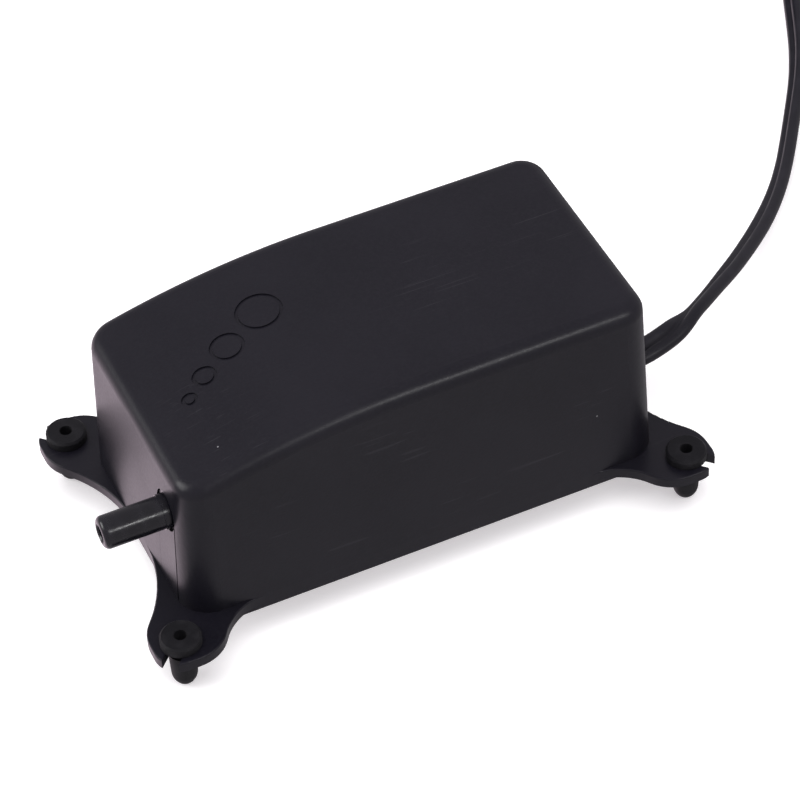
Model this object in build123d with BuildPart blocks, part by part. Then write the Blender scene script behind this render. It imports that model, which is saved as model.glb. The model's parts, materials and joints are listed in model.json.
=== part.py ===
from build123d import *
import math
import os

os.makedirs("parts", exist_ok=True)

# Aquarium air pump: a black moulded case on four rubber feet, with an electromagnet that
# swings a magnet arm, and a rubber diaphragm that the arm pushes. Sizes are in millimetres.
# +X runs from the air outlet to the mains cord and +Z is up. The origin lies on the surface
# that the feet stand on, midway between the nozzle's tip and the ends of the far ears.
# Unless said otherwise, x is measured from the middle of the case, and y and z from the origin.

# ---------------------------------------------------------------- case
case_x = 1.5                # middle of the case and of the foot pattern, from the origin
case_length = 97.6          # at the parting line
case_width = 51.2
case_corner = 6.5           # plan corner radius at the parting line
case_corner_top = 4.8       # and where the walls' lines pass the top
case_top = 48.7             # flat part of the top
top_radius = 160.0          # the top falls along this arc towards the outlet end
top_edge = 3.2              # rounding of the top edges
end_draft = 2.8             # degrees, the two end walls
side_draft = 1.1            # degrees, the two long walls
wall = 2.2
gap = 0.2                   # between two mouldings
bubbles = ((-18, 8, 4.6), (-26.5, 3.2, 3.4), (-32.8, -0.9, 2.4), (-37.2, -4.3, 1.6))    # x, y, radius
bubble_line = 0.7
bubble_depth = 0.3

# ---------------------------------------------------------------- base plate, ears and feet
base_bottom = 7.2           # the feet hold the plate's underside this high
plate = 3.4
ear_thick = 2.2
part_line = base_bottom + plate
ear_bottom = part_line - ear_thick
foot_pitch_x = 104.5
foot_pitch_y = 58.8
ear_reach_x = 57.7          # from the middle of the case to the ears' outer edges
ear_reach_y = 34.6
ear_corner = 5.0
ear_edge = 0.3
slot_width = 3.4            # mouth that each foot's neck is pushed in through
mouth_reach = 4.0 / math.sqrt(2)
foot_neck = 2.0             # radii of the foot
foot_flat = 0.9
foot_dome = (2.0, 1.2)      # a point of the rounded tip's outline: radius, height
foot_tip = 2.5
foot_tip_top = 3.1
foot_shoulder = 2.65
foot_head = 3.95
foot_hole = 1.25
foot_top = 12.6
filter_radius = 9.0
cap_thick = 1.1
filter_seat = base_bottom + 1.9
inlet = (22.0, -1.0)

# ---------------------------------------------------------------- fasteners
corners = [(sx * 41.5, sy * 18.6) for sx in (-1, 1) for sy in (-1, 1)]
post_radius = 3.4
post_top = 24.4
pilot = 1.25                # radius of the housing's pilot holes
thread = 1.2                # radius of the screws in them
head_seat = base_bottom + 1.6       # seat of the screws that come up through the plate

# ---------------------------------------------------------------- outlet
nozzle_y = -15.6
nozzle_z = 30.6
nozzle_radius = 3.2
nozzle_bore = 1.6
nozzle_tip = -60.7
tip_round = 1.1
collar_radius = 4.0
slot_half = 4.2             # half width of the slot in the end wall
near_gap = 0.35             # between the slot's edges and the tab that closes it
far_gap = 0.05
tail_radius = 2.5           # hose end inside the case
tail_end = -38.6
spigot_end = -38.0

# ---------------------------------------------------------------- valve box and diaphragm
arm_y = -1.0                # mid-plane of the arm, the magnets and the core
arm_z = 30.6
valve_x = -20.5             # middle of the valve box and of the diaphragm
valve_half_x = 12.5
valve_half_z = 10.4
valve_bottom = arm_z - valve_half_z
valve_face = -6.0           # the diaphragm's rim seats here
web_front = -9.6
web_back = -12.0
valve_back = -19.0
valve_corners = [(valve_x + sx * 10.8, arm_z + sz * 8.7) for sx in (-1, 1) for sz in (-1, 1)]
valve_posts = [(valve_x - 8.5, -10.8), (valve_x + 8.5, -10.8)]
dish_radius = 7.4
port_radius = 1.3
outlet_port = (valve_x - 3.6, arm_z - 3.6)
inlet_port = (valve_x + 3.6, arm_z - 3.6)
chamber_offset = 4.95
chamber_wide = 8.3
chamber_high = 15.0
gasket_thick = 0.5
cover_thick = 1.5
flap_radius = 2.1
flap_neck = 2.2
flap_thick = 0.6
hinge_z = arm_z - 0.9       # upper edge of the flaps, where they bend
rubber = 0.8                # thickness of the diaphragm
diaphragm_y = valve_face + rubber / 2
roll_middle = 5.9           # the rubber's rolled ring
roll_inner = 0.9
roll_outer = 1.6
rim_radius = 9.8
ring_thick = 1.4

# ---------------------------------------------------------------- armature
pivot_x = -39.5
pin_radius = 1.25
bush_radius = 2.3
eye_radius = 3.3
arm_thick = 1.2
arm_high = 10.0
arm_tip = 9.0
screw_hole = 1.3
hub_radius = 3.7            # discs that clamp the middle of the diaphragm
washer_thick = 0.8
rivet_radius = 0.85
holder_half = 3.4
magnet_back = 10.2
magnet_front = 14.8
magnet_half_y = 7.0
magnet_half_z = 6.5
sheet = 1.2                 # steel of the pivot bracket
tab_gap = 0.7
bracket_back = -44.6
bracket_foot = 14.4
bracket_holes = [(-37.6, arm_y - 2.0), (-37.6, arm_y + 2.0)]

# ---------------------------------------------------------------- core and coil
core_front = 16.3
core_back = 38.3
core_half_y = 13.5
core_half_z = 7.0
core_leg = 4.5
core_windows = ((arm_y - 9.0, arm_y - 3.5), (arm_y + 3.5, arm_y + 9.0))
rail_top = 22.6
clamp_x = 35.4
clamp_foot = 16.4
clamp_places = [(clamp_x, arm_y - 16.6), (clamp_x, arm_y + 16.6)]
strap = 1.0
flange = 1.0
terminal_ys = (arm_y - 5.0, arm_y + 5.0)

# ---------------------------------------------------------------- mains cord
cord_diameter = 5.2         # width of the flat twin cord; it is half as thick
cord_y = -4.5
cord_z = 13.7
notch_half = 4.0            # half width of the grommet's notch in the end wall
cord_exit_x = 51.0          # outer face of the grommet
cord_tail_start = 40.6
cord_clamp_x = 42.6
cord_clamp_top = 12.8
cord_clamp_holes = [(cord_clamp_x, cord_y - 4.3), (cord_clamp_x, cord_y + 4.3)]
coil_centre = (133.0, 141.0)        # from the origin, like the route and the plug
coil_inner = 22.6
coil_outer = 33.8
coil_height = 3 * cord_diameter
relief_length = 16.0
body_length = 25.0
plug_z = 8.5
pin_pitch = 12.7

feet = [
    ("foot_outlet_near", -1, -1),
    ("foot_outlet_far", -1, 1),
    ("foot_cord_near", 1, -1),
    ("foot_cord_far", 1, 1),
]
foot_places = [(sx * foot_pitch_x / 2, sy * foot_pitch_y / 2) for _, sx, sy in feet]


def level(z):
    """Horizontal plane at height z, centred on the case."""
    return Plane((case_x, 0, z))


def downward(z):
    """Horizontal plane at height z that faces down; local y is -Y."""
    return Plane(origin=(case_x, 0, z), x_dir=(1, 0, 0), z_dir=(0, 0, -1))


def across(x):
    """Plane facing +X at x; local x is +Y and local y is +Z."""
    return Plane(origin=(case_x + x, 0, 0), x_dir=(0, 1, 0), z_dir=(1, 0, 0))


def along(y):
    """Plane facing -Y at y; local x is +X and local y is +Z."""
    return Plane(origin=(case_x, y, 0), x_dir=(1, 0, 0), z_dir=(0, -1, 0))


def wall_x(z):
    """Half length of the case's outside at height z."""
    return case_length / 2 - (z - part_line) * math.tan(math.radians(end_draft))


def save(piece, name):
    """Label a finished piece and write it."""
    piece.part.label = name
    export_step(piece.part, f"parts/{name}.step")


def block(x0, x1, y0, y1, z0, z1, mode=Mode.ADD):
    """Rectangular block between limits."""
    with Locations((case_x + (x0 + x1) / 2, (y0 + y1) / 2, (z0 + z1) / 2)):
        Box(x1 - x0, y1 - y0, z1 - z0, mode=mode)


def rods(plane, places, radius, start, end, mode=Mode.ADD):
    """Round rods or holes at places on a plane, from start to end along its normal."""
    with Locations(*[plane.location * Pos(u, v, start) for u, v in places]):
        Cylinder(radius, end - start, align=(Align.CENTER, Align.CENTER, Align.MIN), mode=mode)


def screws(plane, places, shank, length, head, head_high):
    """Screws whose heads seat on the plane and whose shanks go along its normal."""
    rods(plane, places, shank, 0, length)
    rods(plane, places, head, -head_high, 0)


def case_form(inset):
    """Closed solid of the case's outside, drawn in by inset on every side but the bottom."""
    radius = top_radius - inset
    centre_z = case_top - top_radius
    end = -case_length
    end_z = centre_z + math.sqrt(radius**2 - end**2)
    rise = case_top             # the walls run past the top, which is then cut from them
    with BuildPart() as form:
        for z, corner in ((0, case_corner), (rise, case_corner_top)):
            with BuildSketch(level(part_line + z)):
                RectangleRounded(
                    case_length - 2 * inset - 2 * z * math.tan(math.radians(end_draft)),
                    case_width - 2 * inset - 2 * z * math.tan(math.radians(side_draft)),
                    corner - inset / 2,
                )
        loft(ruled=True)
        with BuildSketch(along(0)):
            with BuildLine():
                ThreePointArc(
                    (0, centre_z + radius),
                    (end / 2, centre_z + math.sqrt(radius**2 - end**2 / 4)),
                    (end, end_z),
                )
                Polyline(
                    (end, end_z),
                    (end, 2 * case_top),
                    (case_length, 2 * case_top),
                    (case_length, centre_z + radius),
                    (0, centre_z + radius),
                )
            make_face()
        extrude(amount=case_width, both=True, mode=Mode.SUBTRACT)
        tops = form.faces().filter_by(lambda f: f.normal_at().Z > 0.9)
        crease = tops.edges().filter_by(lambda e: abs(e.center().X - case_x) < 0.5 and abs(e.center().Y) < 1)
        fillet([e for e in tops.edges() if e not in crease], top_edge - inset / 2)
    return form.part


# ================================================================ upper housing
case_outside = case_form(0)
case_inside = case_form(wall)
# rising bubbles: rings that stand where the curved top is engraved
with BuildPart() as bubble_rings:
    with BuildSketch(level(case_top - 12)):
        for x, y, radius in bubbles:
            with Locations((x, y)):
                Circle(radius)
                Circle(radius - bubble_line, mode=Mode.SUBTRACT)
    extrude(amount=14)
    add(case_form(bubble_depth), mode=Mode.SUBTRACT)

with BuildPart() as upper_housing:
    add(case_outside)
    add(case_inside, mode=Mode.SUBTRACT)
    rods(level(0), corners, post_radius, part_line, post_top)
    for x, y in corners:
        side = math.copysign(1, y)
        near, far = sorted((y + side * 1.5, side * (case_width / 2 - 1.6)))
        block(x - 1.2, x + 1.2, near, far, part_line, post_top)
    rods(level(0), corners, pilot, part_line, part_line + 12, Mode.SUBTRACT)
    # slot for the nozzle and the base plate's tab, open at the bottom
    with BuildSketch(across(-case_length / 2 - 1)):
        with Locations((nozzle_y, nozzle_z)):
            Circle(slot_half)
        with Locations((nozzle_y, nozzle_z / 2)):
            Rectangle(2 * slot_half, nozzle_z)
    extrude(amount=5.3, mode=Mode.SUBTRACT)
    # notch for the cord's grommet
    with BuildSketch(across(45.5)):
        with Locations((cord_y, cord_z)):
            Circle(notch_half)
        with Locations((cord_y, cord_z / 2)):
            Rectangle(2 * notch_half, cord_z)
    extrude(amount=5, mode=Mode.SUBTRACT)
    add(bubble_rings.part, mode=Mode.SUBTRACT)
save(upper_housing, "upper_housing")


# ================================================================ base plate
def s_bend(start, end, share, tangent):
    """Two tangent arcs from start to end, both ends parallel to tangent."""
    middle = tuple(a + share * (b - a) for a, b in zip(start, end))
    first = TangentArc(start, middle, tangent=tangent)
    TangentArc(middle, end, tangent=first % 1)


def ear_quarter():
    """Plan outline of a quarter of the plate, from the long side round the ear to the end."""
    half_w = case_width / 2
    half_l = case_length / 2
    ear_flat_x = ear_reach_x - ear_corner
    ear_flat_y = ear_reach_y - ear_corner
    Line((0, half_w), (34, half_w))
    s_bend((34, half_w), (50.5, ear_reach_y), 0.59, (1, 0))
    Line((50.5, ear_reach_y), (ear_flat_x, ear_reach_y))
    TangentArc((ear_flat_x, ear_reach_y), (ear_reach_x, ear_flat_y), tangent=(1, 0))
    Line((ear_reach_x, ear_flat_y), (ear_reach_x, 27.5))
    s_bend((ear_reach_x, 27.5), (half_l, 3.0), 0.21, (0, -1))
    Line((half_l, 3.0), (half_l, 0))


def on_ear(edge):
    """Whether an edge lies round an ear, clear of the case and of the foot's hole."""
    middle = edge.center()
    x, y = abs(middle.X - case_x), abs(middle.Y)
    clear = x > case_length / 2 + 0.1 or y > case_width / 2 + 0.1
    return clear and math.hypot(x - foot_pitch_x / 2, y - foot_pitch_y / 2) > 4.5


# the tab closes the nozzle's slot, flush with the end wall inside and out
with BuildPart() as end_tab:
    add(case_outside)
    add(case_inside, mode=Mode.SUBTRACT)
    with BuildSketch(across(-case_length / 2 - 2)):
        with Locations((nozzle_y + (near_gap - far_gap) / 2, (part_line + nozzle_z) / 2)):
            Rectangle(2 * slot_half - near_gap - far_gap, nozzle_z - part_line)
        with Locations((nozzle_y, nozzle_z)):
            Circle(collar_radius + 0.05, mode=Mode.SUBTRACT)
    extrude(amount=wall + 4, mode=Mode.INTERSECT)

core_sides = []
for side in (-1, 1):
    core_sides.append(sorted((arm_y + side * (core_half_y - core_leg), arm_y + side * core_half_y)))

with BuildPart() as base_plate:
    with BuildSketch(level(ear_bottom)):
        with BuildLine():
            ear_quarter()
            mirror(about=Plane.YZ)
            mirror(about=Plane.XZ)
        make_face()
        with Locations(*foot_places):
            Circle(foot_neck + 0.1, mode=Mode.SUBTRACT)
        for x, y in foot_places:
            mouth_x = x + math.copysign(mouth_reach, x)
            mouth_y = y + math.copysign(mouth_reach, y)
            with Locations((mouth_x, mouth_y)):
                Rectangle(8, slot_width, rotation=math.copysign(45, x * y), mode=Mode.SUBTRACT)
    extrude(amount=ear_thick)
    # the ears' upper edges are eased where they stand clear of the case
    rim = base_plate.edges().filter_by_position(Axis.Z, part_line - 0.01, part_line + 0.01)
    fillet(rim.filter_by(on_ear), ear_edge)
    # the thicker floor under the case
    with BuildSketch(level(base_bottom)):
        RectangleRounded(case_length, case_width, case_corner)
    extrude(amount=plate)
    # posts and rails inside the case
    add(end_tab.part)
    for near, far in core_sides:
        block(20, 37, near, far, part_line, rail_top)
    rods(level(0), clamp_places, 2.4, part_line, clamp_foot)
    rods(level(0), valve_posts, 3.2, part_line, valve_bottom)
    block(bracket_back, -36, arm_y - 3.5, arm_y + 3.5, part_line, bracket_foot)
    # screws that come up from below: through holes with counterbores
    rods(level(0), corners, 1.6, base_bottom, part_line, Mode.SUBTRACT)
    rods(level(0), valve_posts, 1.3, base_bottom, valve_bottom, Mode.SUBTRACT)
    rods(level(0), corners + valve_posts, 3.0, base_bottom, head_seat, Mode.SUBTRACT)
    # pilot holes of the screws that go down into the posts
    rods(level(0), clamp_places, 0.95, clamp_foot - 5, clamp_foot, Mode.SUBTRACT)
    rods(level(0), bracket_holes, 0.75, bracket_foot - 4.5, bracket_foot, Mode.SUBTRACT)
    rods(level(0), cord_clamp_holes, 0.95, part_line - 2.2, part_line, Mode.SUBTRACT)
    # air inlet: a recess for the filter under a ring of holes
    rods(level(0), [inlet], filter_radius + 0.1, base_bottom, filter_seat, Mode.SUBTRACT)
    with BuildSketch(level(filter_seat)):
        with Locations(inlet):
            with PolarLocations(5.0, 6):
                Circle(0.9)
    extrude(amount=part_line - filter_seat, mode=Mode.SUBTRACT)
save(base_plate, "base_plate")

# ================================================================ rubber feet
for (name, _, _), (x, y) in zip(feet, foot_places):
    foot_plane = Plane(origin=(case_x + x, y, 0), x_dir=(1, 0, 0), z_dir=(0, -1, 0))
    with BuildPart() as foot:
        with BuildSketch(foot_plane):
            with BuildLine():
                Line((0, 0), (foot_flat, 0))
                ThreePointArc((foot_flat, 0), foot_dome, (foot_tip, foot_tip_top))
                Polyline(
                    (foot_tip, foot_tip_top),
                    (foot_shoulder, ear_bottom - 0.05),
                    (foot_neck, ear_bottom - 0.05),
                    (foot_neck, part_line + 0.05),
                    (foot_head, part_line + 0.05),
                    (foot_head, foot_top - 0.4),
                    (foot_head - 0.4, foot_top),
                    (foot_hole, foot_top),
                    (foot_hole, ear_bottom),
                    (0, ear_bottom - 0.5),
                    (0, 0),
                )
            make_face()
        revolve(axis=Axis((case_x + x, y, 0), (0, 0, 1)))
    save(foot, name)

# ================================================================ housing screws
with BuildPart() as housing_screws:
    screws(level(head_seat), corners, thread, 11.0, 2.8, 1.5)
    with BuildSketch(level(head_seat - 1.5)):
        with Locations(*corners):
            Rectangle(3.6, 0.7)
            Rectangle(0.7, 3.6)
    extrude(amount=0.8, mode=Mode.SUBTRACT)
save(housing_screws, "housing_screws")

# ================================================================ inlet filter and its cap
with BuildPart() as filter_cap:
    with BuildSketch(level(base_bottom)):
        with Locations(inlet):
            Circle(filter_radius)
            Circle(1.0, mode=Mode.SUBTRACT)
            with PolarLocations(5.0, 8):
                Circle(1.0, mode=Mode.SUBTRACT)
    extrude(amount=cap_thick)
save(filter_cap, "filter_cap")

with BuildPart() as filter_pad:
    rods(level(0), [inlet], filter_radius - 0.2, base_bottom + cap_thick, filter_seat - 0.1)
save(filter_pad, "filter_pad")

# ================================================================ outlet nozzle and its sleeve
collar_front = -wall_x(nozzle_z) + 0.4
flange_front = -wall_x(nozzle_z + 5.4) + wall + 0.65
shoulder_x = collar_front - 1.5
nozzle_plane = Plane(origin=(case_x, nozzle_y, nozzle_z), x_dir=(1, 0, 0), z_dir=(0, -1, 0))
with BuildPart() as outlet_nozzle:
    with BuildSketch(nozzle_plane):
        with BuildLine():
            Line((nozzle_tip, nozzle_bore + 0.35), (nozzle_tip, nozzle_radius - tip_round))
            TangentArc(
                (nozzle_tip, nozzle_radius - tip_round),
                (nozzle_tip + tip_round, nozzle_radius),
                tangent=(0, 1),
            )
            Polyline(
                (nozzle_tip + tip_round, nozzle_radius),
                (shoulder_x, nozzle_radius),
                (shoulder_x, nozzle_radius + 0.2),
                (collar_front, nozzle_radius + 0.2),
                (collar_front, collar_radius),
                (flange_front, collar_radius),
                (flange_front, collar_radius + 0.9),
                (flange_front + 1.1, collar_radius + 0.9),
                (flange_front + 1.1, tail_radius),
                (tail_end, tail_radius),
                (tail_end, nozzle_bore),
                (nozzle_tip + 0.35, nozzle_bore),
                (nozzle_tip, nozzle_bore + 0.35),
            )
        make_face()
    revolve(axis=Axis((case_x, nozzle_y, nozzle_z), (1, 0, 0)))
save(outlet_nozzle, "outlet_nozzle")

sleeve_start = flange_front + 1.3
sleeve_end = valve_x - valve_half_x - 0.2
with BuildPart() as outlet_sleeve:
    rods(across(0), [(nozzle_y, nozzle_z)], tail_radius + 1.3, sleeve_start, sleeve_end)
    rods(across(0), [(nozzle_y, nozzle_z)], tail_radius, sleeve_start, sleeve_end, Mode.SUBTRACT)
save(outlet_sleeve, "outlet_sleeve")


# ================================================================ valve box
def box_outline():
    """Outline that the valve box, its gasket, cover, frame and ring share."""
    with Locations((valve_x, arm_z)):
        RectangleRounded(2 * valve_half_x, 2 * valve_half_z, 1.5)


def chambers(mode=Mode.ADD):
    """The outlet chamber and the inlet chamber, side by side."""
    with Locations((valve_x - chamber_offset, arm_z), (valve_x + chamber_offset, arm_z)):
        RectangleRounded(chamber_wide, chamber_high, 1.0, mode=mode)


with BuildPart() as valve_box:
    with BuildSketch(along(valve_face)):
        box_outline()
    extrude(amount=valve_face - valve_back)
    # dished space in front of the diaphragm
    rods(along(0), [(valve_x, arm_z)], dish_radius, -valve_face, -web_front, Mode.SUBTRACT)
    with BuildSketch(along(web_back)):
        chambers()
    extrude(amount=web_back - valve_back, mode=Mode.SUBTRACT)
    rods(along(0), [outlet_port, inlet_port], port_radius, -web_front, -web_back, Mode.SUBTRACT)
    rods(along(0), valve_corners, 1.0, -valve_face, -valve_back, Mode.SUBTRACT)
    # spigot to the outlet sleeve, and the inlet hole in the bottom
    rods(across(0), [(nozzle_y, nozzle_z)], tail_radius, spigot_end, valve_x - valve_half_x)
    rods(across(0), [(nozzle_y, nozzle_z)], nozzle_bore, spigot_end, -28.5, Mode.SUBTRACT)
    inlet_hole = [(valve_x + chamber_offset, nozzle_y)]
    rods(level(0), inlet_hole, nozzle_bore, valve_bottom, valve_bottom + 4, Mode.SUBTRACT)
    # blind holes for the two screws that come up through the posts
    rods(level(0), valve_posts, 1.0, valve_bottom, valve_bottom + 2.2, Mode.SUBTRACT)
save(valve_box, "valve_box")

with BuildPart() as valve_box_screws:
    screws(level(head_seat), valve_posts, 0.95, valve_bottom + 2 - head_seat, 2.8, 1.5)
save(valve_box_screws, "valve_box_screws")

with BuildPart() as cover_gasket:
    with BuildSketch(along(valve_back)):
        box_outline()
        chambers(Mode.SUBTRACT)
        with Locations(*valve_corners):
            Circle(1.0, mode=Mode.SUBTRACT)
    extrude(amount=gasket_thick)
save(cover_gasket, "cover_gasket")

with BuildPart() as valve_cover:
    with BuildSketch(along(valve_back - gasket_thick)):
        box_outline()
        with Locations(*valve_corners):
            Circle(1.0, mode=Mode.SUBTRACT)
    extrude(amount=cover_thick)
save(valve_cover, "valve_cover")

# ================================================================ flap valves
for name, port, face_y, opens in (
    ("inlet_flap", inlet_port, web_front, 1),
    ("outlet_flap", outlet_port, web_back, -1),
):
    with BuildPart() as flap:
        with BuildSketch(along(face_y)):
            with Locations(port):
                Circle(flap_radius)
            with Locations((port[0], (port[1] + hinge_z) / 2)):
                Rectangle(flap_neck, hinge_z - port[1])
        extrude(amount=-opens * flap_thick)
    save(flap, name)

with BuildPart() as flap_retainers:
    for port, face_y, opens in ((inlet_port, web_front, 1), (outlet_port, web_back, -1)):
        with BuildSketch(along(face_y)):
            with Locations((port[0], hinge_z + 1.1)):
                Rectangle(flap_neck, 1.5)
        extrude(amount=-opens * 0.9)
save(flap_retainers, "flap_retainers")

# ================================================================ diaphragm and its clamp ring
half_rubber = rubber / 2
diaphragm_plane = Plane(origin=(case_x + valve_x, diaphragm_y, arm_z), x_dir=(1, 0, 0), z_dir=(0, 0, 1))
with BuildPart() as diaphragm:
    with BuildSketch(diaphragm_plane):
        with BuildLine():
            Line((screw_hole, -half_rubber), (roll_middle - roll_inner, -half_rubber))
            ThreePointArc(
                (roll_middle - roll_inner, -half_rubber),
                (roll_middle, roll_inner - half_rubber),
                (roll_middle + roll_inner, -half_rubber),
            )
            Polyline(
                (roll_middle + roll_inner, -half_rubber),
                (rim_radius, -half_rubber),
                (rim_radius, half_rubber),
                (roll_middle + roll_outer, half_rubber),
            )
            ThreePointArc(
                (roll_middle + roll_outer, half_rubber),
                (roll_middle, half_rubber + roll_outer),
                (roll_middle - roll_outer, half_rubber),
            )
            Polyline(
                (roll_middle - roll_outer, half_rubber),
                (screw_hole, half_rubber),
                (screw_hole, -half_rubber),
            )
        make_face()
    revolve(axis=Axis((case_x + valve_x, 0, arm_z), (0, 1, 0)))
save(diaphragm, "diaphragm")

# the frame lies round the rubber's rim and keeps the ring parallel to the box
for name, back, thick, opening in (
    ("rim_frame", valve_face, rubber, rim_radius + 0.1),
    ("diaphragm_ring", valve_face + rubber, ring_thick, dish_radius + 0.3),
):
    with BuildPart() as frame:
        with BuildSketch(along(back)):
            box_outline()
            with Locations((valve_x, arm_z)):
                Circle(opening, mode=Mode.SUBTRACT)
            with Locations(*valve_corners):
                Circle(1.0, mode=Mode.SUBTRACT)
        extrude(amount=-thick)
    save(frame, name)

ring_face = valve_face + rubber + ring_thick
cover_face = valve_back - gasket_thick - cover_thick
with BuildPart() as ring_screws:
    screws(along(ring_face), valve_corners, 0.95, ring_face - cover_face - 0.2, 1.6, 0.8)
save(ring_screws, "ring_screws")

# ================================================================ armature
arm_back = arm_y - arm_thick / 2
arm_front = arm_y + arm_thick / 2
rubber_back = diaphragm_y - half_rubber
rubber_front = diaphragm_y + half_rubber
washer_back = rubber_back - washer_thick
hub = [(valve_x, arm_z)]

with BuildPart() as inner_washer:
    rods(along(0), hub, hub_radius, -rubber_back, -washer_back)
    rods(along(0), hub, screw_hole, -rubber_back, -washer_back, Mode.SUBTRACT)
save(inner_washer, "inner_washer")

with BuildPart() as push_disc:
    rods(along(0), hub, hub_radius, -arm_back, -rubber_front)
    rods(along(0), hub, screw_hole, -arm_back, -rubber_front, Mode.SUBTRACT)
    chamfer(push_disc.faces().sort_by(Axis.Y)[-1].edges().sort_by(SortBy.RADIUS)[-1], 0.8)
save(push_disc, "push_disc")

with BuildPart() as diaphragm_screw:
    rods(along(0), hub, 1.2, -(arm_front + 2.2), -washer_back)
    rods(along(0), hub, 2.2, -washer_back, -washer_back + 1.5)
    with BuildSketch(along(washer_back - 1.5)):
        with Locations(*hub):
            Rectangle(3.0, 0.6)
            Rectangle(0.6, 3.0)
    extrude(amount=-0.7, mode=Mode.SUBTRACT)
save(diaphragm_screw, "diaphragm_screw")

with BuildPart() as diaphragm_nut:
    with BuildSketch(along(arm_front)):
        with Locations(*hub):
            RegularPolygon(2.9, 6)
            Circle(1.25, mode=Mode.SUBTRACT)
    extrude(amount=-1.6)
save(diaphragm_nut, "diaphragm_nut")

arm_low = arm_z - arm_high / 2
arm_upper = arm_z + arm_high / 2
pivot = [(pivot_x, arm_y)]
rivets = [(3.5, arm_z - 3), (3.5, arm_z + 3)]
with BuildPart() as armature_arm:
    rods(level(0), pivot, eye_radius, arm_low, arm_upper)
    block(pivot_x, arm_tip, arm_back, arm_front, arm_low, arm_upper)
    rods(level(0), pivot, bush_radius, arm_low, arm_upper, Mode.SUBTRACT)
    rods(along(0), hub, screw_hole, -arm_front, -arm_back, Mode.SUBTRACT)
    rods(along(0), rivets, rivet_radius, -arm_front, -arm_back, Mode.SUBTRACT)
save(armature_arm, "armature_arm")

with BuildPart() as pivot_bush:
    rods(level(0), pivot, bush_radius, arm_low - 0.4, arm_upper + 0.4)
    rods(level(0), pivot, pin_radius + 0.05, arm_low - 0.4, arm_upper + 0.4, Mode.SUBTRACT)
save(pivot_bush, "pivot_bush")

magnet_y = (arm_y - magnet_half_y, arm_y + magnet_half_y)
magnet_z = (arm_z - magnet_half_z, arm_z + magnet_half_z)
with BuildPart() as magnet_holder:
    block(0.5, magnet_back, arm_y - holder_half, arm_y + holder_half, arm_z - 7, arm_z + 7)
    block(magnet_back - 1, magnet_front - 2, magnet_y[0] - 1.4, magnet_y[1] + 1.4,
          magnet_z[0] - 1.4, magnet_z[1] + 1.4)
    block(magnet_back, magnet_front, *magnet_y, *magnet_z, Mode.SUBTRACT)
    block(0.5, arm_tip, arm_back, arm_front, arm_low, arm_upper, Mode.SUBTRACT)
    rods(along(arm_y), rivets, rivet_radius, -holder_half, holder_half, Mode.SUBTRACT)
save(magnet_holder, "magnet_holder")

with BuildPart() as armature_magnets:
    block(magnet_back, magnet_front, magnet_y[0], arm_y - 0.05, *magnet_z)
    block(magnet_back, magnet_front, arm_y + 0.05, magnet_y[1], *magnet_z)
save(armature_magnets, "armature_magnets")

with BuildPart() as holder_rivets:
    rods(along(arm_y), rivets, rivet_radius - 0.05, -holder_half, holder_half)
    rods(along(arm_y), rivets, 1.5, -holder_half - 0.6, -holder_half)
    rods(along(arm_y), rivets, 1.5, holder_half, holder_half + 0.6)
save(holder_rivets, "holder_rivets")

# ================================================================ pivot bracket and pin
tab_low = arm_low - tab_gap
tab_high = arm_upper + tab_gap
bracket_y = (arm_y - 3.5, arm_y + 3.5)
with BuildPart() as pivot_bracket:
    block(bracket_back, bracket_back + sheet, *bracket_y, bracket_foot, tab_high + sheet)
    block(bracket_back, -36, *bracket_y, bracket_foot, bracket_foot + sheet)
    block(bracket_back, -36.6, *bracket_y, tab_low - sheet, tab_low)
    block(bracket_back, -36.6, *bracket_y, tab_high, tab_high + sheet)
    rods(level(0), pivot, pin_radius, tab_low - sheet, tab_high + sheet, Mode.SUBTRACT)
    rods(level(0), bracket_holes, 0.9, bracket_foot, bracket_foot + sheet, Mode.SUBTRACT)
save(pivot_bracket, "pivot_bracket")

with BuildPart() as pivot_pin:
    rods(level(0), pivot, pin_radius, tab_low - sheet - 0.5, tab_high + sheet + 0.5)
save(pivot_pin, "pivot_pin")

bracket_screw_places = [(x, -y) for x, y in bracket_holes]
with BuildPart() as bracket_screws:
    screws(downward(bracket_foot + sheet), bracket_screw_places, 0.7, 5.0, 1.3, 0.8)
save(bracket_screws, "bracket_screws")

# ================================================================ core, pads and clamp
core_low = arm_z - core_half_z
core_high = arm_z + core_half_z
window_end = core_back - core_leg
with BuildPart() as core_laminations:
    block(core_front, core_back, arm_y - core_half_y, arm_y + core_half_y, core_low, core_high)
    for near, far in core_windows:
        block(core_front, window_end, near, far, core_low, core_high, Mode.SUBTRACT)
save(core_laminations, "core_laminations")

with BuildPart() as core_pads:
    for near, far in core_sides:
        block(20, 37, near, far, rail_top, core_low)
save(core_pads, "core_pads")

strap_half = core_half_y + 0.2
strap_x = (clamp_x - 1.8, clamp_x + 1.8)
with BuildPart() as core_clamp:
    block(*strap_x, arm_y - strap_half - strap, arm_y + strap_half + strap, core_high, core_high + strap)
    for side in (-1, 1):
        upright = sorted((arm_y + side * strap_half, arm_y + side * (strap_half + strap)))
        foot_y = sorted((arm_y + side * strap_half, arm_y + side * 19.0))
        block(*strap_x, *upright, clamp_foot, core_high)
        block(*strap_x, *foot_y, clamp_foot, clamp_foot + strap)
    rods(level(0), clamp_places, 1.05, clamp_foot, clamp_foot + strap, Mode.SUBTRACT)
save(core_clamp, "core_clamp")

clamp_screw_places = [(x, -y) for x, y in clamp_places]
with BuildPart() as core_screws:
    screws(downward(clamp_foot + strap), clamp_screw_places, 0.9, 4.8, 1.5, 0.9)
save(core_screws, "core_screws")


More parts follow.
